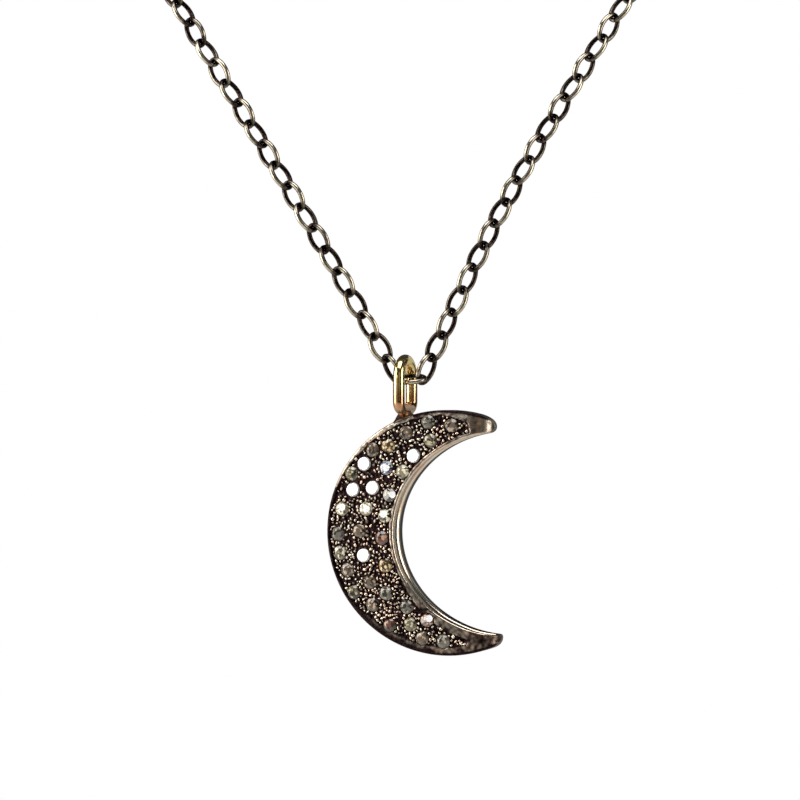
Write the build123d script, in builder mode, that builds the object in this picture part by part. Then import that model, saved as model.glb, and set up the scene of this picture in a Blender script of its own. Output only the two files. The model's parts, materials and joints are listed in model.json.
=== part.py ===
from build123d import *
from math import atan2, cos, degrees, hypot, radians, sin, sqrt, tan
import os

# Crescent moon pendant on a cable chain, in millimetres, +Z up, seen from -Y.
# The origin is the nape, where the chain lies on the back of the neck.

# Where the pendant hangs, measured from the nape
neck_depth = 102.0  # nape to pendant, front to back
drop = 97.0  # nape to the link that carries the pendant
pendant_yaw = 20.0  # the face turns this far to the viewer's left

# Crescent plate
outer_half_width = 10.2
outer_half_height = 9.87
gap_half_width = 9.29  # the bite that makes the crescent
gap_half_height = 8.15
gap_shift = 5.03  # bite's centre, right of the moon's centre
upper_horn_reach = 3.8  # horns end this far right of the moon's centre
lower_horn_reach = 4.4
upper_horn_nose = 0.48
lower_horn_nose = 0.33
plate_thickness = 2.58
plate_setback = 1.06  # back face behind the ring's plane, so that the plate balances under the hinge
moon_right = 3.68  # moon's centre, right of the ring
dome_radius = 75.0
edge_round = 0.14
rim_width = 0.3
field_recess = 0.07
field_corner = 0.4
field_reach = 2.3  # the stone field ends this far right of the moon's centre

# Cut stones
stone_diameter = 1.16
stone_sides = 16
main_facets = 8
table_share = 0.56
crown_angle = 34.5
star_angle = 20.0
upper_girdle_angle = 41.0
pavilion_angle = 40.75
lower_girdle_angle = 42.5
girdle_thickness = 0.035
girdle_depth = 0.11  # top of the girdle below the metal between the stones
seat_clearance = 0.03
azure_radius = 0.24

# Beads raised round each stone
bead_radius = 0.13
bead_height = 0.2  # from its root in the metal to its shoulder, level with the rim
bead_land = 0.02  # metal left between a bead and the next seat or bead
touching = 0.001  # lengths that differ by less are the same
beads_per_stone = 7
bead_turn = 40.0  # each stone's beads start this much further round

# Gold wire ring soldered to the plate's top edge
ring_wire = 0.87
ring_slack = 1.08  # link's centre to the inside of the ring's round top
ring_foot = 2.37  # link's centre down to the centre line of the ring's straight foot
ring_corner = 0.65  # centre line of its two lower corners
ring_along_link = 0.4  # the ring hangs this far left of the link's middle
ring_stand = 0.8  # centre line of that foot, above the plate's edge
solder_radius = 0.6
solder_base_radius = 0.8
solder_inset = 0.1  # top of the solder, below that centre line
solder_root = 0.35  # foot of the solder, below the plate's edge

# Oval-link cable chain
link_wire = 0.32
link_width = 1.93
link_end_radius = 0.6  # wire's centre line at each end of a link
link_pitch = 2.03
link_gap = 0.12  # clear space between linked wires
carrier_roll = -23.0  # turns the carrying link nearly level, its front side a little lower
hook_back = 0.3  # the next links hook into the carrying link this far behind its ends
hook_down = 0.1
hook_in = 0.05
front_roll = -21.0  # turn of the first links about the run, from the sloping plane of the loop
nape_roll = -45.0
left_twist = 15.0  # the left run is twisted this much more where it meets the ring
twist_links = 5

# Plain clasp at the nape
clasp_length = 11.0
clasp_width = 3.0
clasp_thickness = 0.5
clasp_eye_radius = 0.65
clasp_eye_wall = 0.45
clasp_play = 0.1  # more clear space where the last link hooks into its eye

# The chain's route up each side, from the carrying link to the clasp, as (x, y, z) from the hinge
ROUTE = {
    "left": [(-5.6, 0.7, 8.9), (-18.5, 5, 30.6), (-39, 20, 64), (-51.5, 49, 84), (-38, 86, 93.5)],
    "right": [(6.6, 1, 11.4), (18, 5, 31), (39, 20, 64), (51.5, 49, 84), (38, 86, 93.5)],
}

# Stones charted by hand: (degrees round the crescent, share of the way from its inner to its outer edge)
STONE_CHART = [
    (102.7, 0.51), (113.9, 0.74), (116.5, 0.3), (126, 0.69), (129.6, 0.23), (136.4, 0.67), (140.8, 0.17),
    (142.7, 0.81), (145.1, 0.43), (149.8, 0.76), (156, 0.85), (157, 0.16), (157.6, 0.45), (162, 0.72),
    (168.6, 0.44), (169.9, 0.14), (170.9, 0.8), (179.7, 0.5), (181.1, 0.83), (183.5, 0.17), (188.7, 0.83),
    (191.6, 0.48), (196.1, 0.78), (199.8, 0.2), (204.6, 0.53), (205.5, 0.84), (213.5, 0.4), (214.2, 0.7),
    (226.6, 0.28), (226.3, 0.75), (233.9, 0.51), (240.7, 0.24), (242.5, 0.66), (253.2, 0.59),
]

# Sizes that follow from the ones above
hinge = Vector(0, -neck_depth, -drop)
across = Vector(1, 0, 0).rotate(Axis.Z, -pendant_yaw)
front = Vector(0, -1, 0).rotate(Axis.Z, -pendant_yaw)
face = Plane(origin=hinge, x_dir=across, z_dir=front)
stone_radius = stone_diameter / 2
seat_radius = stone_radius + seat_clearance
ring_radius = ring_slack + ring_wire / 2
edge_height = outer_half_height * sqrt(1 - (moon_right / outer_half_width) ** 2)  # edge under the ring
moon_down = ring_foot + ring_stand + edge_height
front_height = plate_thickness - plate_setback
solder_top = ring_foot + solder_inset
solder_height = ring_stand + solder_root - solder_inset
solder_middle = solder_top + solder_height / 2
carrier_centre = hinge + across * ring_along_link
reference = Vector(0, -1, 1).normalized()
clasp_eye = clasp_length / 2 - clasp_eye_wall - clasp_eye_radius
clasp_pivot = clasp_eye + clasp_eye_radius - clasp_play - link_gap / 2
crown_height = (1 - table_share) * stone_radius * tan(radians(crown_angle))
flat_reach = stone_radius * cos(radians(180 / stone_sides))
star_reach = table_share * stone_radius * cos(radians(180 / main_facets))
girdle_foot = -girdle_thickness
FACETS = [
    {"count": main_facets, "slope": crown_angle, "turn": 0, "reach": stone_radius, "height": 0},
    {"count": main_facets, "slope": star_angle, "turn": 0.5, "reach": star_reach, "height": crown_height},
    {"count": stone_sides, "slope": upper_girdle_angle, "turn": 0.5, "reach": flat_reach, "height": 0},
    {"count": main_facets, "slope": -pavilion_angle, "turn": 0, "reach": stone_radius, "height": girdle_foot},
    {"count": stone_sides, "slope": -lower_girdle_angle, "turn": 0.5, "reach": flat_reach, "height": girdle_foot},
]


def surface_height(right, up):
    """Height of the domed front over a point given from the moon's centre."""
    return front_height - dome_radius + sqrt(dome_radius**2 - right**2 - up**2)


def edge_distance(angle, centre_right, half_width, half_height):
    """Distance along a ray from between the two ellipses' centres out to an ellipse about centre_right."""
    start = gap_shift / 2 - centre_right
    a = (cos(angle) / half_width) ** 2 + (sin(angle) / half_height) ** 2
    b = 2 * start * cos(angle) / half_width**2
    c = (start / half_width) ** 2 - 1
    return (-b + sqrt(b**2 - 4 * a * c)) / (2 * a)


def stone_centre(angle_degrees, share):
    """A charted stone's place, right of and above the moon's centre."""
    angle = radians(angle_degrees)
    inner = edge_distance(angle, gap_shift, gap_half_width, gap_half_height)
    outer = edge_distance(angle, 0, outer_half_width, outer_half_height)
    reach = inner + share * (outer - inner)
    return gap_shift / 2 + reach * cos(angle), reach * sin(angle)


stone_centres = [stone_centre(angle, share) for angle, share in STONE_CHART]


def on_face(right, up, height):
    """A place on the pendant's face, given from the moon's centre."""
    return face * Location((moon_right + right, up - moon_down, height))


def stone_places(lift=0):
    """Where each stone's girdle top lies, or a place that far above it."""
    return [on_face(x, y, surface_height(x, y) - girdle_depth + lift) for x, y in stone_centres]


def facet_plane(number, count, slope, turn, reach, height):
    """The plane of one facet: its slope from the girdle's plane, through a point at that reach and height."""
    angle = 360 * (number + turn) / count
    side = Vector(1, 0, 0).rotate(Axis.Z, angle)
    upward = 1 if slope > 0 else -1
    normal = side * abs(sin(radians(slope))) + Vector(0, 0, upward * cos(radians(slope)))
    return Plane(origin=side * reach + Vector(0, 0, height), z_dir=normal)


def in_field(right, up, margin):
    """Whether a point lies inside the crescent by at least the margin."""
    outer = hypot(right / (outer_half_width - margin), up / (outer_half_height - margin))
    inner = hypot((right - gap_shift) / (gap_half_width + margin), up / (gap_half_height + margin))
    return outer < 1 < inner and right < field_reach - bead_radius


def bead_places():
    """Beads stand round each stone, where no seat, rim or other bead is in the way."""
    reach = seat_radius + bead_radius + bead_land
    kept = []
    for number, (x, y) in enumerate(stone_centres):
        for step in range(beads_per_stone):
            turn = radians(360 * step / beads_per_stone + bead_turn * number)
            right = x + reach * cos(turn)
            up = y + reach * sin(turn)
            clear_seats = all(hypot(right - a, up - b) > reach - touching for a, b in stone_centres)
            clear_beads = all(hypot(right - a, up - b) > 2 * bead_radius + bead_land for a, b in kept)
            if clear_seats and clear_beads and in_field(right, up, rim_width + bead_radius):
                kept.append((right, up))
    return [on_face(x, y, surface_height(x, y) - bead_height) for x, y in kept]


# Outline of the plate, with its horns cut short and rounded
with BuildSketch() as crescent:
    Ellipse(outer_half_width, outer_half_height)
    with Locations((gap_shift, 0)):
        Ellipse(gap_half_width, gap_half_height, mode=Mode.SUBTRACT)
    with BuildLine() as horn_cut:
        Polyline(
            (upper_horn_reach, outer_half_height),
            (lower_horn_reach, -outer_half_height),
            (2 * outer_half_width, -outer_half_height),
            (2 * outer_half_width, outer_half_height),
            close=True,
        )
    make_face(mode=Mode.SUBTRACT)
    fillet(crescent.vertices().sort_by(Axis.Y)[:2], lower_horn_nose)
    fillet(crescent.vertices().sort_by(Axis.Y)[-2:], upper_horn_nose)

# Outline of the stone field, a rim's width inside the plate's edges and short of the horns
with BuildSketch() as field:
    Ellipse(outer_half_width - rim_width, outer_half_height - rim_width)
    with Locations((gap_shift, 0)):
        Ellipse(gap_half_width + rim_width, gap_half_height + rim_width, mode=Mode.SUBTRACT)
    with Locations((field_reach + outer_half_width, 0)):
        Rectangle(2 * outer_half_width, 3 * outer_half_height, mode=Mode.SUBTRACT)
    fillet(field.vertices(), field_corner)

# Sunk floor of the stone field, as the metal that is taken away above it
with BuildPart() as field_cut:
    with BuildSketch(face):
        with Locations((moon_right, -moon_down)):
            add(field.sketch)
    extrude(amount=2 * plate_thickness)
    with Locations(on_face(0, 0, front_height - dome_radius)):
        Sphere(dome_radius - field_recess, mode=Mode.SUBTRACT)

# A bead: a round post with a domed top, from its root up
with BuildPart() as bead:
    Cylinder(bead_radius, bead_height, align=(Align.CENTER, Align.CENTER, Align.MIN))
    with Locations((0, 0, bead_height)):
        Sphere(bead_radius, arc_size1=0)

# The gold ring: a half circle about the link's centre, two straight legs and a straight foot
with BuildPart() as ring:
    with BuildLine(Plane(origin=hinge, x_dir=front, z_dir=-across)) as ring_line:
        CenterArc((0, 0), ring_radius, 0, 180)
        Line((-ring_radius, 0), (-ring_radius, ring_corner - ring_foot))
        CenterArc((ring_corner - ring_radius, ring_corner - ring_foot), ring_corner, 180, 90)
        Line((ring_corner - ring_radius, -ring_foot), (ring_radius - ring_corner, -ring_foot))
        CenterArc((ring_radius - ring_corner, ring_corner - ring_foot), ring_corner, 270, 90)
        Line((ring_radius, ring_corner - ring_foot), (ring_radius, 0))
    with BuildSketch(Plane(origin=hinge + front * ring_radius, x_dir=front, z_dir=(0, 0, 1))):
        Circle(ring_wire / 2)
    sweep(path=ring_line.wires()[0])

# The moon: domed plate, sunk field, seats, beads, solder foot and gold ring, all one solid
with BuildPart() as moon:
    with BuildSketch(face.offset(-plate_setback)):
        with Locations((moon_right, -moon_down)):
            add(crescent.sketch)
    extrude(amount=plate_thickness)
    with Locations(on_face(0, 0, front_height - dome_radius)):
        Sphere(dome_radius, mode=Mode.INTERSECT)
    fillet(moon.faces().filter_by(GeomType.SPHERE).edges(), edge_round)
    add(field_cut.part, mode=Mode.SUBTRACT)
    with Locations(*stone_places(-girdle_thickness)):
        CounterSinkHole(
            radius=azure_radius,
            counter_sink_radius=seat_radius,
            depth=2 * plate_thickness,
            counter_sink_angle=180 - 2 * pavilion_angle,
        )
    with Locations(*bead_places()):
        add(bead.part)
    add(ring.part)
    with Locations(Plane(origin=hinge + Vector(0, 0, -solder_middle), z_dir=(0, 0, 1))):
        Cone(solder_base_radius, solder_radius, solder_height)

# A stone: a round brilliant, its girdle's top at z = 0 and its table up
with BuildPart() as stone:
    with BuildSketch(Plane.XY.offset(-stone_radius)):
        RegularPolygon(stone_radius, stone_sides)
    extrude(amount=stone_radius + crown_height)
    for facets in FACETS:
        for number in range(facets["count"]):
            split(bisect_by=facet_plane(number, **facets), keep=Keep.BOTTOM)


def path_for(side):
    """The chain's centre line from the carrying link's end round to the clasp, for one side."""
    sign = 1 if side == "right" else -1
    hook = across * (sign * (link_pitch / 2 - hook_in)) + Vector(0, hook_back, -hook_down)
    start = carrier_centre + hook
    end = Vector(sign * clasp_pivot, 0, 0)
    middle = [hinge + Vector(*point) for point in ROUTE[side]]
    with BuildLine() as line:
        Spline(start, *middle, end, tangents=[middle[0] - start, Vector(-sign, 0, 0)])
    return line.wires()[0]


def link_plane(first, last, roll):
    """A link's own plane: x along the link, z square to its flat side."""
    axis = (last - first).normalized()
    flat = reference - axis * reference.dot(axis)
    turned = flat.normalized().rotate(Axis((0, 0, 0), axis), roll)
    return Plane(origin=(first + last) / 2, x_dir=axis, z_dir=turned)


def run_planes(side):
    """The planes of all links up one side, in order from the carrying link to the clasp."""
    path = paths[side]
    pivots = [path.position_at(n / links_per_side) for n in range(links_per_side + 1)]
    planes = []
    for number in range(1, links_per_side + 1):
        share = number / links_per_side
        roll = front_roll + share * (nape_roll - front_roll) + 90 * number
        if side == "left":
            roll = -roll - left_twist * max(0, 1 - (number - 1) / twist_links)
        planes.append(link_plane(pivots[number - 1], pivots[number], roll))
    return planes


paths = {side: path_for(side) for side in ROUTE}
side_length = sum(path.length for path in paths.values()) / len(paths)
links_per_side = round(side_length / link_pitch)
runs = {side: run_planes(side) for side in ROUTE}
carrier = link_plane(carrier_centre - across, carrier_centre + across, carrier_roll)
link_planes = [carrier] + runs["left"] + runs["right"]

# One oval link: four tangent arcs swept with a round wire, long enough to hold the gap in its pitch
half_length = (side_length / links_per_side + link_gap + link_wire) / 2
half_width = (link_width - link_wire) / 2
straight = half_length - link_end_radius
side_radius = (straight**2 + half_width**2 - link_end_radius**2) / (2 * (half_width - link_end_radius))
end_angle = degrees(atan2(side_radius - half_width, straight))
with BuildPart() as link:
    with BuildLine() as oval:
        CenterArc((straight, 0), link_end_radius, -end_angle, 2 * end_angle)
        CenterArc((0, half_width - side_radius), side_radius, end_angle, 180 - 2 * end_angle)
        CenterArc((-straight, 0), link_end_radius, 180 - end_angle, 2 * end_angle)
        CenterArc((0, side_radius - half_width), side_radius, 180 + end_angle, 180 - 2 * end_angle)
    with BuildSketch(Plane(origin=(half_length, 0, 0), x_dir=(1, 0, 0), z_dir=(0, 1, 0))):
        Circle(link_wire / 2)
    sweep(path=oval.wires()[0])

# The whole chain, every link loose and clear of the next
with BuildPart() as chain:
    with Locations(*link_planes):
        add(link.part)

# The plain clasp at the nape, a flat plate square to the last links, with an eye at each end
last_link = runs["right"][-1]
with BuildPart() as clasp:
    with BuildSketch(Plane(origin=(0, 0, 0), x_dir=(1, 0, 0), z_dir=last_link.y_dir)):
        SlotOverall(clasp_length, clasp_width)
        with GridLocations(2 * clasp_eye, 0, 2, 1):
            Circle(clasp_eye_radius, mode=Mode.SUBTRACT)
    extrude(amount=clasp_thickness / 2, both=True)

moon.part.label = "moon"
chain.part.label = "chain"
clasp.part.label = "clasp"

os.makedirs("parts", exist_ok=True)
export_step(moon.part, "parts/moon.step")
export_step(chain.part, "parts/chain.step")
export_step(clasp.part, "parts/clasp.step")
for number, place in enumerate(stone_places(), start=1):
    with BuildPart() as set_stone:
        with Locations(place):
            add(stone.part)
    set_stone.part.label = f"stone_{number:02d}"
    export_step(set_stone.part, f"parts/{set_stone.part.label}.step")

print("moon", round(moon.part.volume, 2), moon.part.is_valid, len(moon.part.solids()))
print("stone", round(stone.part.volume, 4), len(stone.part.faces()))
print("chain", len(chain.part.solids()), "links,", [round(path.length, 1) for path in paths.values()])
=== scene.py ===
import json
import math
import random

import bpy
import numpy as np
from mathutils import Matrix, Vector, noise
from mathutils.geometry import delaunay_2d_cdt


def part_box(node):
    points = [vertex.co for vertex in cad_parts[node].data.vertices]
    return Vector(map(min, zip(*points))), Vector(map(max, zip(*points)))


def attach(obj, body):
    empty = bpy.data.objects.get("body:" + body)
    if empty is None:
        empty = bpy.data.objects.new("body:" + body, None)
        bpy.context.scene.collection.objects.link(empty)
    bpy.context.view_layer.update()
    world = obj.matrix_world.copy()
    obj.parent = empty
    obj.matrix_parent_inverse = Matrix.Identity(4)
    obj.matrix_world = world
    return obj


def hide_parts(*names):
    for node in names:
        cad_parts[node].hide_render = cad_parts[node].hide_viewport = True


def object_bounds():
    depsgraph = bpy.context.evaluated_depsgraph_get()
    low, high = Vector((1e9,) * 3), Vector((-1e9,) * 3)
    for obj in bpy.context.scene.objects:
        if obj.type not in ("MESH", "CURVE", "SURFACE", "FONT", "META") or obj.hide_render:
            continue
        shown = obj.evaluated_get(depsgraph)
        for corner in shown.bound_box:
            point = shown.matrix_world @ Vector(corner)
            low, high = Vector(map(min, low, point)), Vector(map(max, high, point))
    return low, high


# Crescent moon pendant on a cable chain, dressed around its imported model.
# Meshes are worked out in millimetres, right, up and out from the middle of the moon's face, and are made in
# metres. Values are millimetres unless a comment says otherwise.
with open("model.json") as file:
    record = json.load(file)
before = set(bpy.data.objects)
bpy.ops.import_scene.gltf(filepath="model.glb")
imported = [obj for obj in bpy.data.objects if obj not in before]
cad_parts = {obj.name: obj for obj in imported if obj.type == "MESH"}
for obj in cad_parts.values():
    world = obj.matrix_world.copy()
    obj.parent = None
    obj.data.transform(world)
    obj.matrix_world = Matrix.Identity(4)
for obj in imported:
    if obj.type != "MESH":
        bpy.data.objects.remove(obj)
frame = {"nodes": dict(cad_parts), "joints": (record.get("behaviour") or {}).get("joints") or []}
cad_low, cad_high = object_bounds()
chance = random.Random(11)
MM = 0.001

# Crescent plate: an ellipse with another one, the bite, taken out of it further right
outer_half_width = 10.2
outer_half_height = 9.87
gap_half_width = 9.29
gap_half_height = 8.15
gap_shift = 5.03
upper_horn_reach = 3.8
lower_horn_reach = 4.4
plate_thickness = 2.58
plate_setback = 1.06  # back face behind the face's own frame
dome_radius = 75.0
moon_right = 3.68  # moon's middle, right of the ring
edge_round = 0.16
back_round = 0.14
front_height = plate_thickness - plate_setback
back_height = -plate_setback

# Horns: each nose starts this far back along the outer edge and along the bite, and its tip lies at a share
# of the way between them. The face rolls down over the last stretch of each horn.
upper_nose = (1.2, 0.7)
lower_nose = (0.8, 0.2)
upper_tip_share = 0.55
lower_tip_share = 0.72
horn_roll = 1.9
horn_fall = 1.3
corner_rounds = 30
nose_steps = 40
arc_steps = 2000

# Stones. A table keeps its size at a power of one; the bright stones' tables spread almost to their girdles.
stone_radius = 0.58
girdle_top = 0.1
most_lean = 3.0  # degrees
bright_power = 0.3
flash_power = 1.15

# Seats, and the small round holes behind the stones, called azures
seat_radius = 0.61
seat_slope = 0.86
seat_drop = 0.05
girdle_depth = 0.11
azure_radius = 0.24
azure_sides = 20

# Stone field, and how much wider its borders are low down and at the upper right
field_floor = 0.17
field_grain = 0.05
field_end = 2.0
field_end_slant = 0.5
field_end_height = 0.86
outer_border = 0.28
outer_border_low = 0.45
outer_border_high = 0.14
outer_border_right = 0.35
inner_border = 0.32
inner_border_low = 0.5

# Beads. The pairs are the bounds of even draws, and the distances to other things are in bead radii.
beads_round_stone = 11
bead_tries = 9000
near_radii = (0.1, 0.18)
near_reaches = (0.7, 1.1)
near_turns = (-0.15, 0.15)  # radians
filler_radii = (0.09, 0.2)
bead_lengths = (1.0, 1.35)
bead_rises = (-0.06, 0.05)
bead_shines = (0.3, 1.3)
bead_spacing = 0.84  # share of two beads' radii
bead_to_seat = 0.6
bead_to_bright = 1.15
bead_to_border = 0.5
bead_top = 0.02
usual_bead = 0.13
bead_size_rise = 0.6  # larger beads stand this much higher, for each millimetre of radius

# Points of the crescent's surface
outline_step = 0.085
filler_step = 0.1
back_step = 0.5
least_spacing = 0.012
hole_margin = 0.04
back_margin = 0.1
seat_margin = 0.07
bead_margin = 1.15  # bead radii
EDGE_LINES = (0.02, 0.05, 0.09, 0.14, 0.2, 0.27, 0.33, 0.38)
# Radius and number of points
SEAT_RINGS = ((0.42, 20), (0.6, 34), (0.612, 34), (0.64, 34), (0.662, 34))
# Share of the bead's radius and number of points
BEAD_RINGS = ((0.35, 6), (0.62, 9), (0.82, 12), (0.95, 14), (1.06, 14))

# Rub of the metal, from nought where its black skin is whole to one where it is bright. Besides wear it
# carries painted light: painted shade lower down, painted dark edge lines and painted highlight lines
plain_rub = 0.36
# Painted shade: the plain metal is painted lighter at the top and darker lower down
plain_rub_high = 1.4
plain_rub_fall = 0.45
stain_rub = 0.2
upper_horn_rub = 0.2
# Painted light along the edges: a painted dark line along the outer edge, and painted highlight lines along
# the bite and the upper left, partly wear
painted_edge_darkness = 0.9
bite_rub = 0.5
outer_rub = -0.34
upper_left_rub = 0.9
bead_rub = 1.3
most_rub = 1.2
horn_end_rub = 0.32
back_rub = 0.55
# Painted shade: the side wall's rows are painted darker lower down
low_wall_painted_shade = 0.35
line_rub = 0.75  # rows of the wall rubbed more than this are painted highlight lines, partly wear, along the bite alone
# Rows down the side wall: depth behind the edge in the bite, share of the wall's height, and rub. The
# brightest rows are painted highlight lines, partly wear, and the rows at nought a painted dark band
WALL_ROWS = (
    (0.0, 0.06, 0.95),
    (0.07, 0.16, 0.6),
    (0.13, 0.3, 0.62),
    (0.13, 0.52, 0.62),
    (0.07, 0.55, 1.2),
    (0.0, 0.58, 1.2),
    (0.0, 0.64, 0.8),
    (0.02, 0.74, 0.0),
    (0.03, 0.88, 0.0),
)
# Rows round the back edge: distance in from the outline, height over the back, and rub; the rows at nought
# paint the back edge dark, as a dark reflection
BACK_ROWS = (
    (0.0, back_round, 0.0),
    (0.045, 0.04, 0.0),
    (back_round, 0.0, 0.4),
)

# Unevenness: how much, waves in a millimetre, and a seed
WAVES = {
    "face": (0.015, 0.7, 3.1),
    "grain": (1.0, 6.0, 8.4),
    "fine_grain": (0.5, 13.0, 2.4),
    "bead_shine": (0.5, 1.3, 4.6),
    "clouds": (0.2, 0.9, 6.6),
    "mottling": (0.3, 3.5, 1.6),
    "stains": (1.0, 2.3, 9.1),
    "field_end": (0.5, 1.2, 3.3),
    "field_border": (0.07, 1.6, 7.7),
    "wall": (0.012, 1.1, 5.0),
    "back": (0.008, 0.6, 9.7),
    "solder": (0.12, 2.5, 6.2),
}

# Where one state turns into another, as the start and end of a soft step. The ones named mm are distances,
# and the others are shares, such as a height over the crescent's middle as a share of its half height.
ZONES = {
    "border_low_outer": (0.45, 0.8),
    "border_low_inner": (0.35, 0.8),
    "border_high": (0.45, 0.75),
    "border_right_mm": (-0.3, 1.5),
    "border_mm": (-0.05, 0.05),
    "field_end_mm": (-0.3, 0.15),
    "edge_high": (0.2, 0.6),
    "edge_left": (-0.35, -0.2),
    "edge_end_mm": (0.2, 1.4),
    "edge_line_mm": (0.03, 0.14),
    "dark_left": (0.1, 0.4),
    "lower_face": (-0.4, 0.6),
    "stain": (-0.1, 0.4),
    "stained_high": (0.3, 0.6),
    "upper_horn_mm": (2.2, 3.2),
    "upper_half": (0.0, 0.3),
    "field_slope": (0.0, 0.12),
    "bead_crown": (0.5, 0.95),
    "painted_low_wall_shade": (0.15, 0.6),
    "wall_end_mm": (0.1, 0.7),
    "bite_mm": (0.0, 0.2),
    "solder_mm": (-0.4, 0.2),
    "blush_mm": (0.2, 1.6),
    "tarnish_mm": (0.4, 0.75),
    "link_end": (0.62, 0.85),
}
# The black line along the lower left edge, a painted dark reflection, fades between these distances in, and
# further in at the left
dark_edge = 0.12
dark_edge_end = 0.3
dark_edge_left = 0.6

# Ring: its centre line's half width and foot, measured from the hinge, and steps along each stretch of it
ring_wire = 0.95
ring_radius = 1.515
ring_foot = 2.42
ring_corner = 0.65
ring_sides = 32
ring_bend_steps = 12
ring_top_steps = 60
ring_leg_steps = 16
ring_foot_steps = 14

# Solder between the ring's foot and the crescent's edge
solder_sink = 0.12  # into the edge
solder_top = 0.15  # below the centre line of the ring's foot
solder_radius = 0.5
solder_flare = 0.6
solder_flare_power = 1.7
solder_wobble = 0.1
solder_depth = 1.1
solder_levels = 12
solder_sides = 40

# Chain links
link_count = 197
link_wire = 0.4
link_half_length = 1.22
link_half_width = 0.805
link_end_radius = 0.6
link_steps = 40
link_sides = 10
link_arc_steps = 200
link_rub = 0.48
# Each link's outside is lighter and its inside darker: partly wear, partly painted highlight and painted
# shade
link_outer_rub = 0.35
link_end_loss = 0.35
link_stretch = 0.02
link_tone = 0.12

# Clasp, and how far the camera's middle lies from the hinge
clasp_edge = 0.12
camera_shift = Vector((-0.43, 0, -1.7))

# Floor, camera and lights, in metres
floor_radius = 0.6
floor_sides = 96
floor_centre = -0.05
floor_drop = 0.13
camera_distance = 0.235
picture_width = 0.0648
light_distance = 0.5
surroundings = 0.05  # strength of the light from all round

# The face's own frame, from the hinge that the pendant swings on
swing = frame["joints"][0]
hinge = Vector(swing["pos_m"])
across = Vector(swing["axis"]).normalized()
front = Vector((across.y, -across.x, 0))
upward = Vector((0, 0, 1))
moon_middle = hinge + across * moon_right * MM
moon_middle.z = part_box("moon")[0].z + outer_half_height * MM
face_turn = Matrix((across, upward, front)).transposed()
hinge_up = (hinge.z - moon_middle.z) / MM


def to_frame(points):
    """Points right, up and out from the face's middle, in millimetres, as points of the frame in metres."""
    turned = np.asarray(points, float) @ np.array(face_turn).T
    return turned * MM + np.array(moon_middle)


def to_face(points):
    """The other way round."""
    return (np.asarray(points, float) - np.array(moon_middle)) @ np.array(face_turn) / MM


def vertices_of(node):
    """The vertices of a node of the frame, in metres."""
    mesh = frame["nodes"][node].data
    flat = np.empty(len(mesh.vertices) * 3)
    mesh.vertices.foreach_get("co", flat)
    return flat.reshape(-1, 3)


def make_piece(name, points, faces, body, material, slot, **attributes):
    """A smooth mesh piece of the object, with a value at each vertex for each named attribute."""
    mesh = bpy.data.meshes.new(name)
    mesh.from_pydata(np.asarray(points).tolist(), [], faces)
    for attribute, values in attributes.items():
        layer = mesh.attributes.new(attribute, "FLOAT", "POINT")
        layer.data.foreach_set("value", np.asarray(values, np.float32))
    mesh.shade_smooth()
    mesh.materials.append(material)
    piece = bpy.data.objects.new(name, mesh)
    bpy.context.scene.collection.objects.link(piece)
    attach(piece, body)
    return piece


# Materials
class Nodes:
    """A material's node tree, with short ways to add and join nodes."""

    def __init__(self, name):
        self.material = bpy.data.materials.new(name)
        self.material.use_nodes = True
        self.tree = self.material.node_tree
        self.shader = self.tree.nodes["Principled BSDF"]

    def add(self, kind, **settings):
        node = self.tree.nodes.new(kind)
        for key, value in settings.items():
            setattr(node, key, value)
        return node

    def join(self, source, target):
        self.tree.links.new(source, target)

    def attribute(self, name):
        return self.add("ShaderNodeAttribute", attribute_name=name).outputs["Fac"]

    def position(self):
        return self.add("ShaderNodeTexCoord").outputs["Object"]

    def noise(self, scale, detail=3.0, roughness=0.55, distortion=0.0):
        node = self.add("ShaderNodeTexNoise")
        self.join(self.position(), node.inputs["Vector"])
        node.inputs["Scale"].default_value = scale
        node.inputs["Detail"].default_value = detail
        node.inputs["Roughness"].default_value = roughness
        node.inputs["Distortion"].default_value = distortion
        return node.outputs["Fac"]

    def cells(self, scale):
        """A random value for each cell of a patchwork."""
        node = self.add("ShaderNodeTexVoronoi")
        self.join(self.position(), node.inputs["Vector"])
        node.inputs["Scale"].default_value = scale
        apart = self.add("ShaderNodeSeparateColor")
        self.join(node.outputs["Color"], apart.inputs[0])
        return apart.outputs[0]

    def math(self, operation, first, second):
        node = self.add("ShaderNodeMath", operation=operation)
        for socket, value in zip(node.inputs, (first, second)):
            if isinstance(value, (int, float)):
                socket.default_value = value
            else:
                self.join(value, socket)
        return node.outputs[0]

    def patchy(self, value, patches, amount=0.5):
        """A value made uneven by patches."""
        around_nought = self.math("SUBTRACT", patches, 0.5)
        return self.math("ADD", value, self.math("MULTIPLY", around_nought, amount))

    def span(self, value, low, high, to_low=0.0, to_high=1.0):
        node = self.add("ShaderNodeMapRange", interpolation_type="SMOOTHSTEP")
        self.join(value, node.inputs["Value"])
        node.inputs["From Min"].default_value = low
        node.inputs["From Max"].default_value = high
        node.inputs["To Min"].default_value = to_low
        node.inputs["To Max"].default_value = to_high
        return node.outputs["Result"]

    def blend(self, share, first, second):
        node = self.add("ShaderNodeMix", data_type="RGBA")
        self.join(share, node.inputs[0])
        for socket, value in zip((node.inputs[6], node.inputs[7]), (first, second)):
            if isinstance(value, tuple):
                socket.default_value = (*value, 1.0)
            else:
                self.join(value, socket)
        return node.outputs[2]

    def colour(self, source):
        self.join(source, self.shader.inputs["Base Color"])

    def roughness(self, source):
        self.join(source, self.shader.inputs["Roughness"])

    def bump(self, height, strength, distance):
        node = self.add("ShaderNodeBump")
        self.join(height, node.inputs["Height"])
        node.inputs["Strength"].default_value = strength
        node.inputs["Distance"].default_value = distance
        self.join(node.outputs["Normal"], self.shader.inputs["Normal"])

    def set(self, **values):
        for key, value in values.items():
            self.shader.inputs[key.replace("_", " ")].default_value = value


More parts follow.
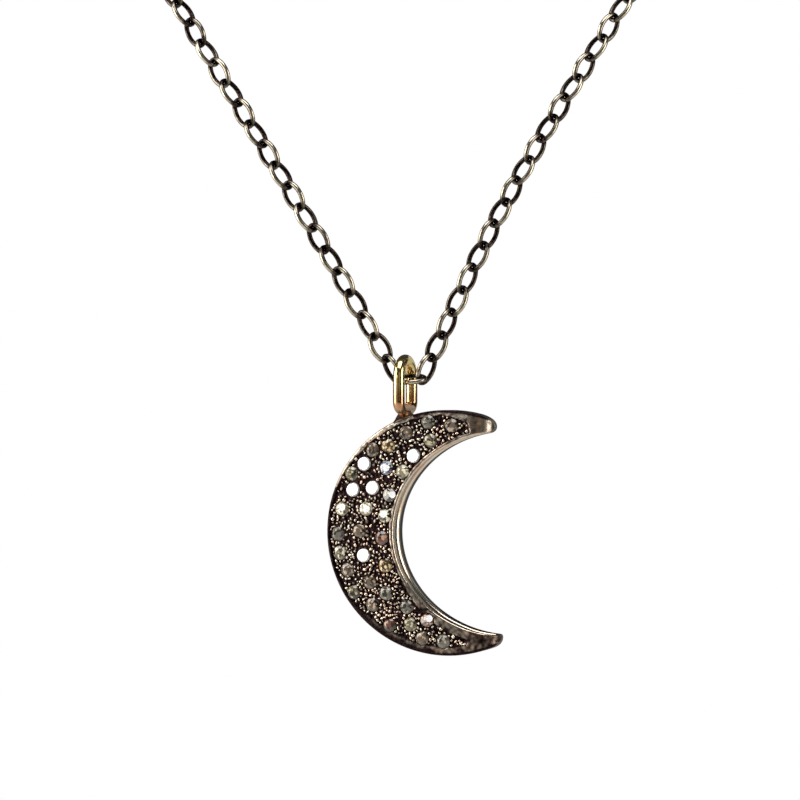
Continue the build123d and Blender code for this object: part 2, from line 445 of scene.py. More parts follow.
def blackened_silver():
    """Oxidised silver: purple black where it is sunk, rubbed to a warm grey on edges and beads, with painted
    highlights and painted shade carried in the same rub attribute.
    """
    n = Nodes("blackened_silver")
    fine = n.noise(scale=7000, detail=3, roughness=0.6)
    # The rub attribute holds wear together with painted highlights and painted shade
    worn_and_lit = n.patchy(n.attribute("rub"), n.noise(scale=1500, detail=4, roughness=0.6))
    worn_and_lit = n.span(worn_and_lit, 0.1, 1.0)
    oxide = n.blend(n.span(fine, 0.35, 0.65), (0.002, 0.001, 0.0015), (0.03, 0.016, 0.017))
    warmth = n.span(n.noise(scale=500, detail=2), 0.4, 0.6)
    n.colour(n.blend(worn_and_lit, oxide, n.blend(warmth, (0.78, 0.7, 0.58), (0.8, 0.62, 0.5))))
    n.set(Metallic=1.0)
    polish = n.span(worn_and_lit, 0.0, 1.0, to_low=0.34, to_high=0.16)
    n.roughness(n.math("ADD", polish, n.math("MULTIPLY", fine, 0.08)))
    n.bump(n.noise(scale=9000, detail=3), strength=0.35, distance=0.000014)
    return n.material


def chain_silver():
    """Oxidised silver wire, rubbed on the outside of each link, with a painted highlight on its outside and
    painted shade on its inside.
    """
    n = Nodes("chain_silver")
    worn_and_lit = n.patchy(n.attribute("rub"), n.noise(scale=2200, detail=4, roughness=0.6))
    worn_and_lit = n.span(n.math("ADD", worn_and_lit, n.attribute("tone")), 0.25, 1.0)
    fine = n.span(n.noise(scale=6000, detail=2), 0.4, 0.6)
    oxide = n.blend(fine, (0.005, 0.003, 0.003), (0.04, 0.026, 0.022))
    n.colour(n.blend(worn_and_lit, oxide, (0.62, 0.56, 0.45)))
    n.set(Metallic=1.0)
    n.roughness(n.span(worn_and_lit, 0.0, 1.0, to_low=0.3, to_high=0.2))
    n.bump(n.noise(scale=12000, detail=2), strength=0.2, distance=0.00001)
    return n.material


def yellow_gold():
    """Polished gold wire, painted darker and redder lower down as shade, with dull solder at its foot."""
    n = Nodes("yellow_gold")
    patches = n.noise(scale=1500, detail=3)
    solder = n.span(n.patchy(n.attribute("solder"), patches), 0.3, 0.7)
    wire = n.blend(n.span(patches, 0.35, 0.65), (0.86, 0.64, 0.26), (0.92, 0.74, 0.38))
    # Painted shade: the wire turns darker and redder lower down
    wire = n.blend(n.attribute("blush"), wire, (0.5, 0.28, 0.15))
    dull = n.blend(n.attribute("tarnish"), (0.5, 0.32, 0.2), (0.16, 0.12, 0.09))
    n.colour(n.blend(solder, wire, dull))
    n.set(Metallic=1.0)
    n.roughness(n.span(solder, 0.0, 1.0, to_low=0.14, to_high=0.3))
    n.bump(n.noise(scale=4000, detail=2), strength=0.3, distance=0.00003)
    return n.material


def clasp_silver():
    """Plain oxidised silver with a mottled grain."""
    n = Nodes("clasp_silver")
    grain = n.noise(scale=2500, detail=4, roughness=0.6)
    n.colour(n.blend(n.span(grain, 0.3, 0.7), (0.12, 0.1, 0.09), (0.36, 0.33, 0.28)))
    n.set(Metallic=1.0, Roughness=0.32)
    n.bump(grain, strength=0.2, distance=0.00002)
    return n.material


def stone_look(name, dark, middle, light, sparkle, clear, bending):
    """A cut rustic stone: a painted patchwork of inner reflections and glints under polished facets."""
    n = Nodes(name)
    patches = n.blend(n.span(n.cells(scale=3400), 0.35, 0.55), dark, middle)
    # Painted glints: a share of the cells turns to the light patch colour
    sparks = n.span(n.cells(scale=5600), 1.0 - sparkle, 1.03 - sparkle)
    patches = n.blend(sparks, patches, light)
    clouds = n.span(n.noise(scale=1800, detail=4, roughness=0.65, distortion=0.6), 0.45, 0.75)
    n.colour(n.blend(n.math("MULTIPLY", clouds, 0.3), patches, middle))
    n.set(Roughness=0.05, IOR=bending, Transmission_Weight=clear)
    return n.material


silver = blackened_silver()
chain_metal = chain_silver()
gold = yellow_gold()
clasp_metal = clasp_silver()

# Dark, middle and light patches, painted as inner reflections and glints, share of light ones, clearness, and
# how much light bends
STONE_COLOURS = {
    "brown": ((0.012, 0.008, 0.006), (0.15, 0.11, 0.08), (0.6, 0.48, 0.35), 0.16, 0.1, 1.9),
    "olive": ((0.014, 0.012, 0.007), (0.17, 0.145, 0.09), (0.62, 0.56, 0.38), 0.2, 0.1, 1.9),
    "grey": ((0.02, 0.018, 0.015), (0.16, 0.147, 0.122), (0.42, 0.4, 0.34), 0.1, 0.1, 1.9),
    "golden": ((0.04, 0.022, 0.008), (0.3, 0.19, 0.09), (1.0, 0.8, 0.45), 0.22, 0.1, 1.9),
    "red": ((0.015, 0.005, 0.004), (0.15, 0.065, 0.045), (0.6, 0.36, 0.26), 0.14, 0.1, 1.9),
    "pale": ((0.03, 0.026, 0.018), (0.28, 0.25, 0.17), (1.0, 0.95, 0.74), 0.35, 0.1, 1.9),
    "blue": ((0.01, 0.012, 0.02), (0.22, 0.27, 0.42), (0.85, 0.93, 1.0), 0.4, 0.1, 1.9),
    # Painted flash: the bright look is painted white, on top of the window that its leaned table mirrors
    "bright": ((0.5, 0.5, 0.5), (0.8, 0.8, 0.8), (1.0, 1.0, 1.0), 0.5, 0.0, 2.4),
}
stone_materials = {name: stone_look("stone_" + name, *look) for name, look in STONE_COLOURS.items()}

# Which stones have which look, the others being brown; the bright ones are painted white as flashes, and lean
# so that they mirror the window
STONE_LOOKS = {
    "bright": (5, 10, 13, 14, 22),
    "blue": (9,),
    "grey": (2, 12, 19, 27, 29, 34),
    "olive": (3, 11, 26, 31),
    "golden": (6, 24),
    "pale": (7, 15, 16, 17, 21),
    "red": (20, 30, 32),
}
# Stones whose tables alone mirror it, and where the table sits, right and up of the stone's middle
FLASHES = {9: (0.1, -0.1), 12: (0.5, -0.3), 15: (0.2, -0.1), 16: (-0.1, 0.2), 17: (0.2, 0.1), 32: (0.5, 0.0)}

# Soft boxes, each placed by its direction from the pendant: degrees right of the camera, degrees up
LIGHTS = {
    "left_box": {"right": -82, "up": 12, "size": (0.4, 0.5), "radiance": 5.0, "tint": (1.0, 0.95, 0.86)},
    "right_box": {"right": 64, "up": 8, "size": (0.24, 0.5), "radiance": 4.0, "tint": (1.0, 0.94, 0.84)},
    "top_box": {"right": -20, "up": 72, "size": (0.45, 0.3), "radiance": 4.0, "tint": (1.0, 0.98, 0.95)},
    "back_box": {"right": 148, "up": 0, "size": (0.26, 0.5), "radiance": 0.5, "tint": (0.97, 1.0, 0.9)},
    "fill": {"right": -38, "up": -4, "size": (0.26, 0.4), "radiance": 0.26, "tint": (1.0, 0.93, 0.86)},
    "card": {"right": 6, "up": 16, "size": (0.22, 0.3), "radiance": 0.25, "tint": (1.0, 0.82, 0.5)},
    "window": {"right": -44, "up": 12, "size": (0.05, 0.05), "radiance": 9.0, "tint": (1.0, 1.0, 1.0)},
}
camera_place = hinge + camera_shift * MM - Vector((0, camera_distance, 0))


def light_direction(light):
    """The way from the pendant to a light."""
    right, up = math.radians(light["right"]), math.radians(light["up"])
    return Vector((math.sin(right) * math.cos(up), -math.cos(right) * math.cos(up), math.sin(up)))


# Stones: the frame's own facets, each leaned a little in its seat
def stone_middle(name):
    """Middle of a stone's box in the face's own frame."""
    local = to_face(vertices_of(name))
    return (local.max(0) + local.min(0)) / 2


stones = {name: stone_middle(name) for name in sorted(frame["nodes"]) if name.startswith("stone_")}
stone_points = np.array([middle[:2] for middle in stones.values()])
bright_points = stone_points[[number - 1 for number in STONE_LOOKS["bright"]]]


def move_table(mesh, centre, power, shift):
    """Spreads a stone's table towards its girdle, where the power is under one, and sets it off centre."""
    for vertex in mesh.vertices:
        local = np.array(to_face([vertex.co])[0]) - centre
        reach = math.hypot(local[0], local[1])
        if local[2] > girdle_top and reach > 0.01:
            wide = stone_radius * (reach / stone_radius) ** power
            local[:2] *= wide / reach
            local[:2] += np.array(shift) * (1 - wide / stone_radius)
            vertex.co = Vector(to_frame([local + centre])[0])


def random_lean(axis):
    return Matrix.Rotation(math.radians(chance.uniform(-most_lean, most_lean)), 3, axis)


def lay_stones():
    window = light_direction(LIGHTS["window"]) * light_distance + moon_middle
    for number, (name, middle) in enumerate(stones.items(), start=1):
        look = next((look for look, numbers in STONE_LOOKS.items() if number in numbers), "brown")
        centre = Vector(to_frame([middle])[0])
        turn = Matrix.Rotation(chance.uniform(0, math.pi / 4), 3, front)
        lean = random_lean(across)
        lean = lean @ random_lean(upward)
        if look == "bright" or number in FLASHES:
            halfway = (camera_place - centre).normalized() + (window - centre).normalized()
            lean = front.rotation_difference(halfway).to_matrix()
        mesh = frame["nodes"][name].data.copy()
        mesh.name = "cut_" + name
        if look == "bright":
            move_table(mesh, middle, bright_power, (0, 0))
        elif number in FLASHES:
            move_table(mesh, middle, flash_power, FLASHES[number])
        mesh.transform(Matrix.Translation(centre) @ (lean @ turn).to_4x4() @ Matrix.Translation(-centre))
        mesh.materials.clear()
        mesh.materials.append(stone_materials[look])
        mesh.shade_flat()
        piece = bpy.data.objects.new("cut_" + name, mesh)
        bpy.context.scene.collection.objects.link(piece)
        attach(piece, "pendant")
        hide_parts(name)


lay_stones()


# The crescent: its outline, then a surface of triangles whose points follow the seats, beads and edges
def smooth(low, high, value):
    """Nought below a step, one above it, and a soft rise between."""
    t = np.clip((value - low) / (high - low), 0, 1)
    return t * t * (3 - 2 * t)


def zone(name, value):
    """Nought before a named soft step, and one after it."""
    return smooth(*ZONES[name], value)


def waver(points, name, shift=0.0):
    """Smooth unevenness of a named kind."""
    amount, scale, seed = WAVES[name]
    seed += shift
    return amount * np.array([noise.noise((x * scale + seed, y * scale, seed)) for x, y in points])


def dome(x, y):
    """Height of the domed face."""
    return front_height - dome_radius + np.sqrt(dome_radius**2 - x**2 - y**2)


def ellipse_gap(x, y, centre, half_width, half_height):
    """Distance out from an ellipse, true close to its line."""
    u = (x - centre) / half_width
    v = y / half_height
    size = np.maximum(np.hypot(u, v), 1e-6)
    slope = np.hypot(u / half_width, v / half_height) / size
    return (size - 1) / slope


def horn_line(y):
    """Where the horns are cut short, right of the middle."""
    middle = (upper_horn_reach + lower_horn_reach) / 2
    return middle + (upper_horn_reach - lower_horn_reach) / 2 * y / outer_half_height


def side_gaps(x, y):
    """Distances in from the outer edge and from the bite."""
    outer = -ellipse_gap(x, y, 0, outer_half_width, outer_half_height)
    inner = ellipse_gap(x, y, gap_shift, gap_half_width, gap_half_height)
    return outer, inner


def edge_gap(x, y):
    """Distance in from the crescent's edge."""
    return np.minimum(np.minimum(*side_gaps(x, y)), horn_line(y) - x)


def stone_gap(x, y):
    """Distance to the nearest stone's middle."""
    return np.hypot(x[:, None] - stone_points[:, 0], y[:, None] - stone_points[:, 1]).min(1)


def spread_along(points, count, closed=False):
    """Even points along a line of points."""
    along = np.concatenate(([0], np.cumsum(np.hypot(*np.diff(points, axis=0).T))))
    places = np.linspace(0, along[-1], count, endpoint=not closed)
    return np.column_stack([np.interp(places, along, points[:, axis]) for axis in (0, 1)])


def resample(points):
    """Even points along a line, about an outline step apart."""
    length = np.hypot(*np.diff(points, axis=0).T).sum()
    return spread_along(points, max(2, round(length / outline_step)) + 1)


def arc_points(centre, half_width, half_height, start, end):
    """Even points along an ellipse, from one angle to another."""
    turns = np.linspace(start, end, arc_steps)
    return resample(np.column_stack((centre + half_width * np.cos(turns), half_height * np.sin(turns))))


def corner_turn(centre, half_width, half_height, sign):
    """The angle on an ellipse where it meets the horns' cut."""
    turn = sign * math.pi / 2
    for _ in range(corner_rounds):
        y = half_height * math.sin(turn)
        turn = sign * math.acos((horn_line(y) - centre) / half_width)
    return turn


def nose(before, corner, after):
    """A round corner between two points."""
    t = np.linspace(0, 1, nose_steps)[:, None]
    return (1 - t) ** 2 * before + 2 * t * (1 - t) * corner + t**2 * after


def crescent_outline():
    """The edge of the crescent, counter-clockwise, with round horns."""
    whole = (0, outer_half_width, outer_half_height)
    bite = (gap_shift, gap_half_width, gap_half_height)
    outer = arc_points(*whole, corner_turn(*whole, 1), 2 * math.pi + corner_turn(*whole, -1))
    inner = arc_points(*bite, 2 * math.pi + corner_turn(*bite, -1), corner_turn(*bite, 1))
    upper, upper_in = (round(reach / outline_step) for reach in upper_nose)
    lower, lower_in = (round(reach / outline_step) for reach in lower_nose)
    lower_tip = outer[-1] + (inner[0] - outer[-1]) * lower_tip_share
    upper_tip = outer[0] + (inner[-1] - outer[0]) * upper_tip_share
    rounded = np.concatenate((
        outer[upper:-lower],
        nose(outer[-lower - 1], outer[-1], lower_tip)[1:-1],
        nose(lower_tip, inner[0], inner[lower_in])[:-1],
        inner[lower_in:-upper_in],
        nose(inner[-upper_in - 1], inner[-1], upper_tip)[1:-1],
        nose(upper_tip, outer[0], outer[upper])[:-1],
    ))
    return resample(np.concatenate((rounded, rounded[:1])))[:-1]


def inward(points):
    """Unit directions into the shape from a counter-clockwise loop."""
    along = np.roll(points, -1, 0) - np.roll(points, 1, 0)
    along /= np.linalg.norm(along, axis=1)[:, None]
    return np.column_stack((-along[:, 1], along[:, 0]))


def ring_of(middle, radius, count, start=0.0):
    """Points round a circle."""
    turns = np.linspace(0, 2 * math.pi, count, endpoint=False) + start
    return np.column_stack((middle[0] + radius * np.cos(turns), middle[1] + radius * np.sin(turns)))


def field_depth(x, y, margin=0.0):
    """One inside the beaded field, falling to nought at its borders, which widen towards the lower horn."""
    outer, inner = side_gaps(x, y)
    low = -y / outer_half_height
    places = np.column_stack((x, y))
    high_border = outer_border_high + outer_border_right * zone("border_right_mm", x)
    outer = outer - outer_border - outer_border_low * zone("border_low_outer", low)
    outer = outer - zone("border_high", -low) * high_border
    inner = inner - inner_border - inner_border_low * zone("border_low_inner", low)
    end = field_end - x + field_end_slant * (outer_half_height * field_end_height - np.abs(y))
    inside = np.minimum(outer, inner) + waver(places, "field_border") - margin
    return zone("border_mm", inside) * zone("field_end_mm", end + waver(places, "field_end") - margin)


def scatter_beads():
    """Beads, round each stone first and then over the field: place, size, turn, length, rise and shine."""
    beads = []

    def try_bead(x, y, radius):
        here = np.array([x]), np.array([y])
        if stone_gap(*here)[0] < seat_radius + bead_to_seat * radius:
            return
        if field_depth(*here, bead_to_border * radius)[0] < 0.5:
            return
        if np.hypot(*(bright_points - (x, y)).T).min() < seat_radius + bead_to_bright * radius:
            return
        if all(math.hypot(x - bead[0], y - bead[1]) > bead_spacing * (radius + bead[2]) for bead in beads):
            turn = chance.uniform(0, math.pi)
            drawn = [chance.uniform(*bounds) for bounds in (bead_lengths, bead_rises, bead_shines)]
            beads.append((x, y, radius, turn, *drawn))

    for x, y in stone_points:
        start = chance.uniform(0, 2 * math.pi)
        for step in range(beads_round_stone):
            radius = chance.uniform(*near_radii)
            turn = start + 2 * math.pi * step / beads_round_stone + chance.uniform(*near_turns)
            reach = seat_radius + radius * chance.uniform(*near_reaches)
            try_bead(x + reach * math.cos(turn), y + reach * math.sin(turn), radius)
    for _ in range(bead_tries):
        x = chance.uniform(-outer_half_width, lower_horn_reach)
        y = chance.uniform(-outer_half_height, outer_half_height)
        try_bead(x, y, chance.uniform(*filler_radii))
    return np.array(beads)


def bead_reach(x, y, bead):
    """Share of the way from a long bead's middle to its side."""
    right, up, radius, turn, length = bead[:5]
    along = (x - right) * math.cos(turn) + (y - up) * math.sin(turn)
    side = (y - up) * math.cos(turn) - (x - right) * math.sin(turn)
    return np.hypot(along / length, side * length) / radius


def bead_line(bead, share, count):
    """Points round a bead, at a share of the way from its middle to its side."""
    right, up, radius, turn, length = bead[:5]
    along, side = ring_of((0, 0), share * radius, count, chance.uniform(0, 1)).T
    along = along * length
    side = side / length
    xs = right + along * math.cos(turn) - side * math.sin(turn)
    ys = up + along * math.sin(turn) + side * math.cos(turn)
    return np.column_stack((xs, ys))


def edge_rub_and_light(x, y):
    """How much the edges are rubbed, with painted light: most along the bite and the upper left, as painted
    highlight lines that are partly wear, and least low on the left, where it falls below nought as a painted
    dark line.
    """
    outer, inner = side_gaps(x, y)
    upper_left = zone("edge_high", y / outer_half_height) * (1 - zone("edge_left", x / outer_half_width))
    edge_light_and_wear = np.where(inner < outer, bite_rub, outer_rub + upper_left_rub * upper_left)
    return edge_light_and_wear * zone("edge_end_mm", horn_line(y) - x)


def smooth_metal_rub(points, edge, sunk):
    """Rub and painted light of the plain metal about the field: cloudy, stained at the top, painted darker
    lower down, black along the lower left edge as a painted dark reflection, with painted highlight lines
    along the bite and upper left.
    """
    x, y = points.T
    low = -y / outer_half_height
    edge_light_and_wear = edge_rub_and_light(x, y)
    # Painted shade: lighter at the top, darker lower down
    rub = plain_rub * (plain_rub_high - plain_rub_fall * zone("lower_face", low))
    rub = rub + waver(points, "clouds") + waver(points, "mottling")
    rub = rub - stain_rub * zone("stain", waver(points, "stains")) * zone("stained_high", -low)
    rub = rub + upper_horn_rub * zone("upper_horn_mm", x) * zone("upper_half", -low)
    # Painted dark line along the outer edge, standing in for a dark reflection, wider at the left
    line_end = dark_edge_end + dark_edge_left * zone("dark_left", -x / outer_half_width)
    rub = rub * (1 - np.where(edge_light_and_wear < 0, painted_edge_darkness, 0) * (1 - smooth(dark_edge, line_end, edge)))
    rub = np.clip(rub, 0, None) * (1 - zone("field_slope", sunk))
    # Painted highlight lines along the bite and upper left, partly wear, and the painted dark line elsewhere
    return rub + edge_light_and_wear * (1 - zone("edge_line_mm", edge))


def face_height(points, beads):
    """Height of the worked front and how much it is rubbed, at points right and up."""
    x, y = points.T
    base = dome(x, y) + waver(points, "face")
    edge = edge_gap(x, y)
    sunk = field_depth(x, y)
    grain = field_grain * (waver(points, "grain") + waver(points, "fine_grain"))
    shine = 1 + waver(points, "bead_shine")
    height = base - sunk * (field_floor + grain)
    rub = smooth_metal_rub(points, edge, sunk)
    beaded = np.zeros(len(x), bool)
    for bead in beads:
        reach = bead_reach(x, y, bead)
        on = reach < 1
        if not on.any():
            continue
        top = dome(bead[0], bead[1]) + bead_top + bead_size_rise * (bead[2] - usual_bead) + bead[5]
        shape = np.sqrt(np.clip(1 - reach[on] ** 2, 0, 1))
        raised = base[on] - field_floor + (top - base[on] + field_floor) * shape + grain[on]
        height[on] = np.where(beaded[on], np.maximum(height[on], raised), raised)
        rub[on] = np.maximum(rub[on], bead_rub * bead[6] * shine[on] * zone("bead_crown", shape))
        beaded |= on
    stone_gaps = stone_gap(x, y)
    in_seat = (stone_gaps < seat_radius) & ~beaded
    seat = dome(x, y) - girdle_depth - seat_drop - (seat_radius - stone_gaps) * seat_slope
    height[in_seat] = seat[in_seat]
    rub[in_seat] = 0
    inset = np.clip(edge_round - edge, 0, edge_round)
    drop = edge_round - np.sqrt(np.clip(edge_round**2 - inset**2, 0, None))
    roll = np.clip(1 - (horn_line(y) - x) / horn_roll, 0, 1)
    drop += horn_fall * (1 - np.sqrt(1 - roll**2))
    return height - drop, np.clip(rub, 0, most_rub)


def triangulate(loop, holes, loose):
    """Triangles inside a loop and outside round holes, over those points and the loose ones."""
    points = [loop]
    edges = [(i, (i + 1) % len(loop)) for i in range(len(loop))]
    start = len(loop)
    for hole in holes:
        points.append(hole)
        edges += [(start + i, start + (i + 1) % len(hole)) for i in range(len(hole))]
        start += len(hole)
    points = np.concatenate(points + [loose])
    made, _, faces, origins, _, _ = delaunay_2d_cdt(
        [Vector(p) for p in points], edges, [list(range(len(loop)))], 1, 1e-5
    )
    made = np.array([tuple(v) for v in made])
    number_of = {source: index for index, group in enumerate(origins) for source in group}
    corner = made[np.array(faces)]
    in_hole = stone_gap(*corner.mean(1).T) <= azure_radius
    first = corner[:, 1] - corner[:, 0]
    second = corner[:, 2] - corner[:, 0]
    turned = first[:, 0] * second[:, 1] - first[:, 1] * second[:, 0] < 0
    kept = [face[::-1] if back else face for face, gone, back in zip(faces, in_hole, turned) if not gone]
    return made, kept, [number_of[i] for i in range(start)]


def grid(step):
    """Staggered rows of points over the crescent's box."""
    xs = np.arange(-outer_half_width, lower_horn_reach, step)
    ys = np.arange(-outer_half_height, outer_half_height, step)
    x, y = (a.ravel() for a in np.meshgrid(xs, ys))
    x = x + (np.round(y / step) % 2) * step / 2
    return np.column_stack((x, y))


def front_points(outline, into, beads):
    """Loose points of the front: along its edge, round each stone and bead, and between them."""
    loose = [outline + into * gap for gap in EDGE_LINES]
    for middle in stone_points:
        for radius, count in SEAT_RINGS:
            loose.append(ring_of(middle, radius, count, chance.uniform(0, 1)))
    for bead in beads:
        loose.append([bead[:2]])
        for share, count in BEAD_RINGS:
            loose.append(bead_line(bead, share, count))
    filler = grid(filler_step)
    gaps = np.array([bead_reach(*filler.T, bead) for bead in beads]).min(0)
    filler = filler[(gaps > bead_margin) & (stone_gap(*filler.T) > seat_radius + seat_margin)]
    loose = np.concatenate(loose + [filler])
    clear_of_holes = stone_gap(*loose.T) > azure_radius + hole_margin
    loose = loose[(edge_gap(*loose.T) > least_spacing) & clear_of_holes]
    _, firsts = np.unique(np.round(loose / least_spacing).astype(int), axis=0, return_index=True)
    return loose[np.sort(firsts)]


def wall_rows(outline, into, top):
    """Rows of points down the side wall and round the back edge, each with its rub and painted light:
    highlight lines along the bite, and painted shade lower down.
    """
    painted_low_wall_shade = 1 - low_wall_painted_shade * zone("painted_low_wall_shade", -outline[:, 1] / outer_half_height)
    plain_end = zone("wall_end_mm", horn_line(outline[:, 1]) - outline[:, 0])
    outer, inner = side_gaps(*outline.T)
    bite = zone("bite_mm", outer - inner)
    foot = back_height + back_round
    rows = []
    for gap, share, rub in WALL_ROWS:
        depth = gap * plain_end * bite + waver(outline, "wall", share)
        rows.append((depth, top + (foot - top) * share, rub))
    for gap, height, rub in BACK_ROWS:
        rows.append((np.full(len(outline), gap), np.full(len(outline), back_height + height), rub))
    # Lines are painted highlights along the bite; the other rows take the painted shade lower down
    for depth, height, rub in rows:
        if rub > line_rub:
            rubs = horn_end_rub + (rub - horn_end_rub) * plain_end * bite
        else:
            rubs = horn_end_rub + (rub * painted_low_wall_shade - horn_end_rub) * plain_end
        yield np.column_stack((outline + into * depth[:, None], height)), rubs


def band(first, second):
    """Faces between two closed rows of points, each given by its numbers."""
    pairs = list(zip(first, second))
    return [[a, b, d, c] for (a, b), (c, d) in zip(pairs, pairs[1:] + pairs[:1])]


def build_crescent():
    outline = crescent_outline()
    into = inward(outline)
    beads = scatter_beads()
    holes = [ring_of(middle, azure_radius, azure_sides) for middle in stone_points]
    flat, faces, marks = triangulate(outline, holes, front_points(outline, into, beads))
    height, rub = face_height(flat, beads)
    points = [np.column_stack((flat, height))]
    rubs = [rub]
    count = len(flat)
    size = len(outline)
    row = marks[:size]
    for row_points, row_rub in wall_rows(outline, into, height[row]):
        points.append(row_points)
        rubs.append(row_rub)
        faces += band(row, range(count, count + size))
        row = list(range(count, count + size))
        count += size
    # Back face, joined to the front through the holes behind the stones
    loose = grid(back_step)
    clear_of_holes = stone_gap(*loose.T) > azure_radius + back_margin
    loose = loose[(edge_gap(*loose.T) > back_round + back_margin) & clear_of_holes]
    back_flat, back_faces, back_marks = triangulate(outline + into * back_round, holes, loose)
    number = dict(zip(back_marks[:size], row))
    fresh = [i for i in range(len(back_flat)) if i not in number]
    number.update({i: count + place for place, i in enumerate(fresh)})
    back = back_flat[fresh]
    points.append(np.column_stack((back, back_height + waver(back, "back"))))
    rubs.append(np.full(len(fresh), back_rub))
    faces += [[number[i] for i in face[::-1]] for face in back_faces]
    for start in range(size, size + azure_sides * len(holes), azure_sides):
        near_side = marks[start : start + azure_sides]
        far_side = [number[i] for i in back_marks[start : start + azure_sides]]
        faces += band(near_side, far_side)
    points = to_frame(np.concatenate(points))
    rubs = np.concatenate(rubs)
    piece = make_piece("silver_crescent", points, faces, "pendant", silver, "blackened_silver", rub=rubs)
    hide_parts("moon")


build_crescent()


def tube(line, radius, sides):
    """Points and faces of a round tube along a closed flat line, and how far each point faces out of it."""
    count = len(line)
    along = np.roll(line, -1, 0) - np.roll(line, 1, 0)
    along /= np.linalg.norm(along, axis=1)[:, None]
    middle = line.mean(0)
    flat = np.cross(line[0] - middle, line[count // 4] - middle)
    flat /= np.linalg.norm(flat)
    out = np.cross(along, flat)
    turns = np.linspace(0, 2 * math.pi, sides, endpoint=False)
    round_out = np.cos(turns)[None, :, None] * out[:, None]
    round_flat = np.sin(turns)[None, :, None] * flat[None, None]
    points = line[:, None] + radius * (round_out + round_flat)
    rows = np.arange(count * sides).reshape(count, sides).tolist()
    faces = []
    for row, after in zip(rows, rows[1:] + rows[:1]):
        faces += band(row, after)
    outwardness = np.tile(np.cos(turns), count)
    return points.reshape(-1, 3), faces, outwardness


def ring_line():
    """Centre line of the ring: a half circle about the link, straight legs and a straight foot."""
    bend = np.linspace(0, math.pi / 2, ring_bend_steps)
    top = np.linspace(0, math.pi, ring_top_steps)
    leg = np.linspace(0, ring_foot - ring_corner, ring_leg_steps)[1:-1]
    foot = np.linspace(ring_corner - ring_radius, ring_radius - ring_corner, ring_foot_steps)[1:-1]
    left = (ring_corner - ring_radius, ring_corner - ring_foot)
    outs = np.concatenate((
        ring_radius * np.cos(top), 0 * leg - ring_radius, left[0] - ring_corner * np.cos(bend),
        foot, ring_corner * np.sin(bend) - left[0], 0 * leg + ring_radius,
    ))
    ups = np.concatenate((
        ring_radius * np.sin(top), -leg, left[1] - ring_corner * np.sin(bend),
        0 * foot - ring_foot, left[1] - ring_corner * np.cos(bend), -leg[::-1],
    ))
    return np.column_stack((0 * outs - moon_right, hinge_up + ups, outs))


def solder_points(foot):
    """Rows of points from inside the ring's foot down to the crescent's edge, flaring out."""
    points = []
    for share in np.linspace(0, 1, solder_levels + 1):
        flare = solder_radius + solder_flare * share**solder_flare_power
        for turn in np.linspace(0, 2 * math.pi, solder_sides, endpoint=False):
            bulge = noise.noise((2 * math.cos(turn), 2 * math.sin(turn), 3 * share))
            reach = flare * (1 + solder_wobble * bulge)
            x = reach * math.cos(turn) - moon_right
            edge = outer_half_height * math.sqrt(1 - (x / outer_half_width) ** 2) - solder_sink
            y = (foot - solder_top) * (1 - share) + edge * share
            points.append((x, y, solder_depth * reach * math.sin(turn)))
    return points


def build_ring():
    """The gold wire ring and the solder that holds it to the crescent's edge."""
    foot = hinge_up - ring_foot
    points, faces, _ = tube(ring_line(), ring_wire / 2, ring_sides)
    solder = zone("solder_mm", foot - points[:, 1] + waver(points[:, :2], "solder"))
    more = solder_points(foot)
    rows = (len(points) + np.arange(len(more))).reshape(-1, solder_sides).tolist()
    for row, after in zip(rows, rows[1:]):
        faces += band(row, after)
    faces += [rows[0], rows[-1][::-1]]
    points = np.concatenate((points, more))
    solder = np.concatenate((solder, np.ones(len(more))))
    # Painted shade, growing lower down the ring
    blush = zone("blush_mm", hinge_up - points[:, 1])
    tarnish = zone("tarnish_mm", foot - points[:, 1])
    piece = make_piece(
        "gold_ring", to_frame(points), faces, "pendant", gold, "yellow_gold",
        solder=solder, blush=blush, tarnish=tarnish,
    )
    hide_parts("moon")


build_ring()


def link_line():
    """Centre line of an oval link: two tight end arcs and two slack side arcs, as even points."""
    straight = link_half_length - link_end_radius
    side = (straight**2 + link_half_width**2 - link_end_radius**2) / (2 * (link_half_width - link_end_radius))
    end_angle = math.atan2(side - link_half_width, straight)
    t = np.linspace(0, 1, link_arc_steps)
    arcs = []
    for middle, radius, start, sweep in (
        ((straight, 0), link_end_radius, -end_angle, 2 * end_angle),
        ((0, link_half_width - side), side, end_angle, math.pi - 2 * end_angle),
        ((-straight, 0), link_end_radius, math.pi - end_angle, 2 * end_angle),
        ((0, side - link_half_width), side, math.pi + end_angle, math.pi - 2 * end_angle),
    ):
        turns = start + sweep * t[:-1]
        arcs.append(np.column_stack((middle[0] + radius * np.cos(turns), middle[1] + radius * np.sin(turns))))
    loop = np.concatenate(arcs + [arcs[0][:1]])
    return np.column_stack((spread_along(loop, link_steps, closed=True), np.zeros(link_steps)))


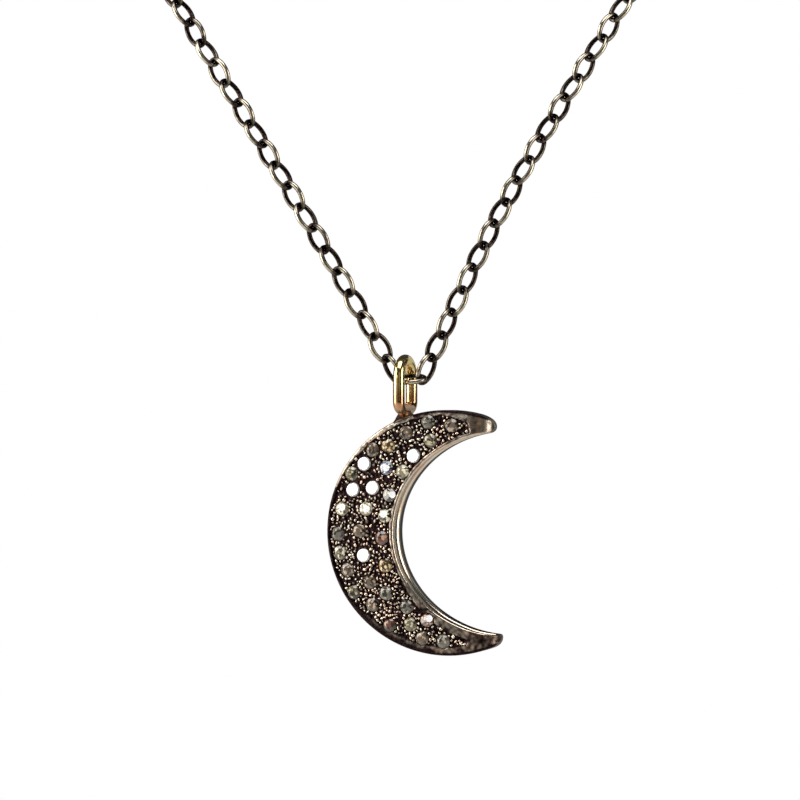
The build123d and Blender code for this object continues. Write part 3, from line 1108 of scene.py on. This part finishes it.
def build_chain():
    """Every link again, as a smooth wire loop that lies as the frame's link does."""
    links = vertices_of("chain").reshape(link_count, -1, 3)
    points, faces, outwardness = tube(link_line(), link_wire / 2, link_sides)
    ends = zone("link_end", np.abs(points[:, 0]) / link_half_length)
    # Partly wear, partly painted light: each link lighter outside and darker inside, and darker at its ends
    rub = np.tile(link_rub + link_outer_rub * outwardness - link_end_loss * ends, link_count)
    size = len(points)
    all_points = []
    all_faces = []
    tones = []
    for number, vertices in enumerate(links):
        middle = vertices.mean(0)
        _, _, axes = np.linalg.svd(vertices - middle, full_matrices=False)
        axes[2] = np.cross(axes[0], axes[1])
        stretched = points * (1, 1 + chance.uniform(-link_stretch, link_stretch), 1)
        all_points.append(stretched @ axes * MM + middle)
        all_faces += [[v + number * size for v in face] for face in faces]
        tones.append(np.full(size, chance.uniform(-link_tone, link_tone)))
    piece = make_piece(
        "link_chain", np.concatenate(all_points), all_faces, "necklace", chain_metal, "chain_silver",
        rub=rub, tone=np.concatenate(tones),
    )
    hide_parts("chain")


build_chain()

# Clasp: the frame's own plate, with softened edges
clasp = frame["nodes"]["clasp"]
clasp.data.materials.clear()
clasp.data.materials.append(clasp_metal)
softened = clasp.modifiers.new("softened edges", "BEVEL")
softened.width = clasp_edge * MM
softened.segments = 3

# Floor, well below, and white surroundings
floor_mesh = bpy.data.meshes.new("floor")
floor_rim = ring_of((0, floor_centre), floor_radius, floor_sides)
floor_mesh.from_pydata([(x, y, 0) for x, y in floor_rim.tolist()], [], [list(range(floor_sides))])
floor = bpy.data.objects.new("floor", floor_mesh)
floor.location.z = cad_low.z - floor_drop
bpy.context.scene.collection.objects.link(floor)
floor_nodes = Nodes("pale_floor")
floor_nodes.set(Base_Color=(0.8, 0.79, 0.77, 1), Roughness=0.7)
floor_mesh.materials.append(floor_nodes.material)

world = bpy.data.worlds.new("studio")
bpy.context.scene.world = world
world.use_nodes = True
tree = world.node_tree
tree.nodes.clear()
output = tree.nodes.new("ShaderNodeOutputWorld")
mixer = tree.nodes.new("ShaderNodeMixShader")
seen = tree.nodes.new("ShaderNodeBackground")
seen.inputs["Color"].default_value = (1, 1, 1, 1)
lit = tree.nodes.new("ShaderNodeBackground")
lit.inputs["Color"].default_value = (0.9, 0.93, 1, 1)
lit.inputs["Strength"].default_value = surroundings
path = tree.nodes.new("ShaderNodeLightPath")
tree.links.new(path.outputs["Is Camera Ray"], mixer.inputs[0])
tree.links.new(lit.outputs[0], mixer.inputs[1])
tree.links.new(seen.outputs[0], mixer.inputs[2])
tree.links.new(mixer.outputs[0], output.inputs[0])

for light_name, light in LIGHTS.items():
    data = bpy.data.lights.new(light_name, "AREA")
    data.shape = "RECTANGLE"
    data.size, data.size_y = light["size"]
    data.color = light["tint"]
    data.energy = light["radiance"] * math.pi * data.size * data.size_y
    lamp = bpy.data.objects.new(light_name, data)
    direction = light_direction(light)
    lamp.location = moon_middle + direction * light_distance
    lamp.rotation_euler = direction.to_track_quat("Z", "Y").to_euler()
    lamp.visible_camera = False
    bpy.context.scene.collection.objects.link(lamp)

# Camera, level and square to the loop
camera_data = bpy.data.cameras.new("camera")
camera_data.lens = camera_data.sensor_width * camera_distance / picture_width
camera_data.clip_start = 0.01
camera = bpy.data.objects.new("camera", camera_data)
camera.location = camera_place
camera.rotation_euler = (math.pi / 2, 0, 0)
bpy.context.scene.collection.objects.link(camera)
bpy.context.scene.camera = camera
bpy.context.scene.view_settings.view_transform = "Standard"
